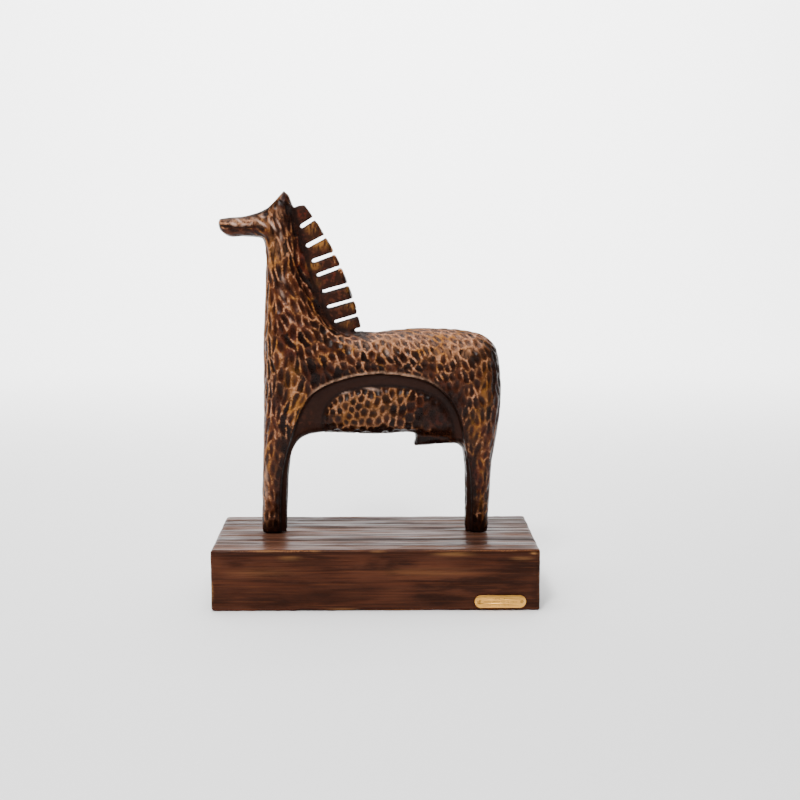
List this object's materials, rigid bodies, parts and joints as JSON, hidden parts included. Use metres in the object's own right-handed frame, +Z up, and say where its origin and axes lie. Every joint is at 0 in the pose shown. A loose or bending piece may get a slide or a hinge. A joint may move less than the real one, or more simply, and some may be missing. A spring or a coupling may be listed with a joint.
{
  "type": "horse figurine",
  "caption": "Carved dark wooden horse with an upright comb mane, standing on a rectangular wooden plinth with a small brass nameplate.",
  "frame": {"origin": "centre of the plinth's underside", "axes": "+Z up from the plinth to the ears, +X from the horse's head towards its rump, +Y from the nameplate's face towards the back"},
  "size_m": [0.2, 0.1021, 0.2539],
  "materials": {
    "carved_wood": "gouge-carved, dark red-brown stain worn to tan on the ridges, satin lacquer",
    "plinth_wood": "brushed straight grain, red-brown stain, glossy lacquer",
    "brass": "satin brushed"
  },
  "bodies": {
    "root": {"horse": "carved_wood", "plinth": "plinth_wood", "nameplate": "brass", "nameplate_pin_left": "brass", "nameplate_pin_right": "brass"}
  },
  "joints": []
}
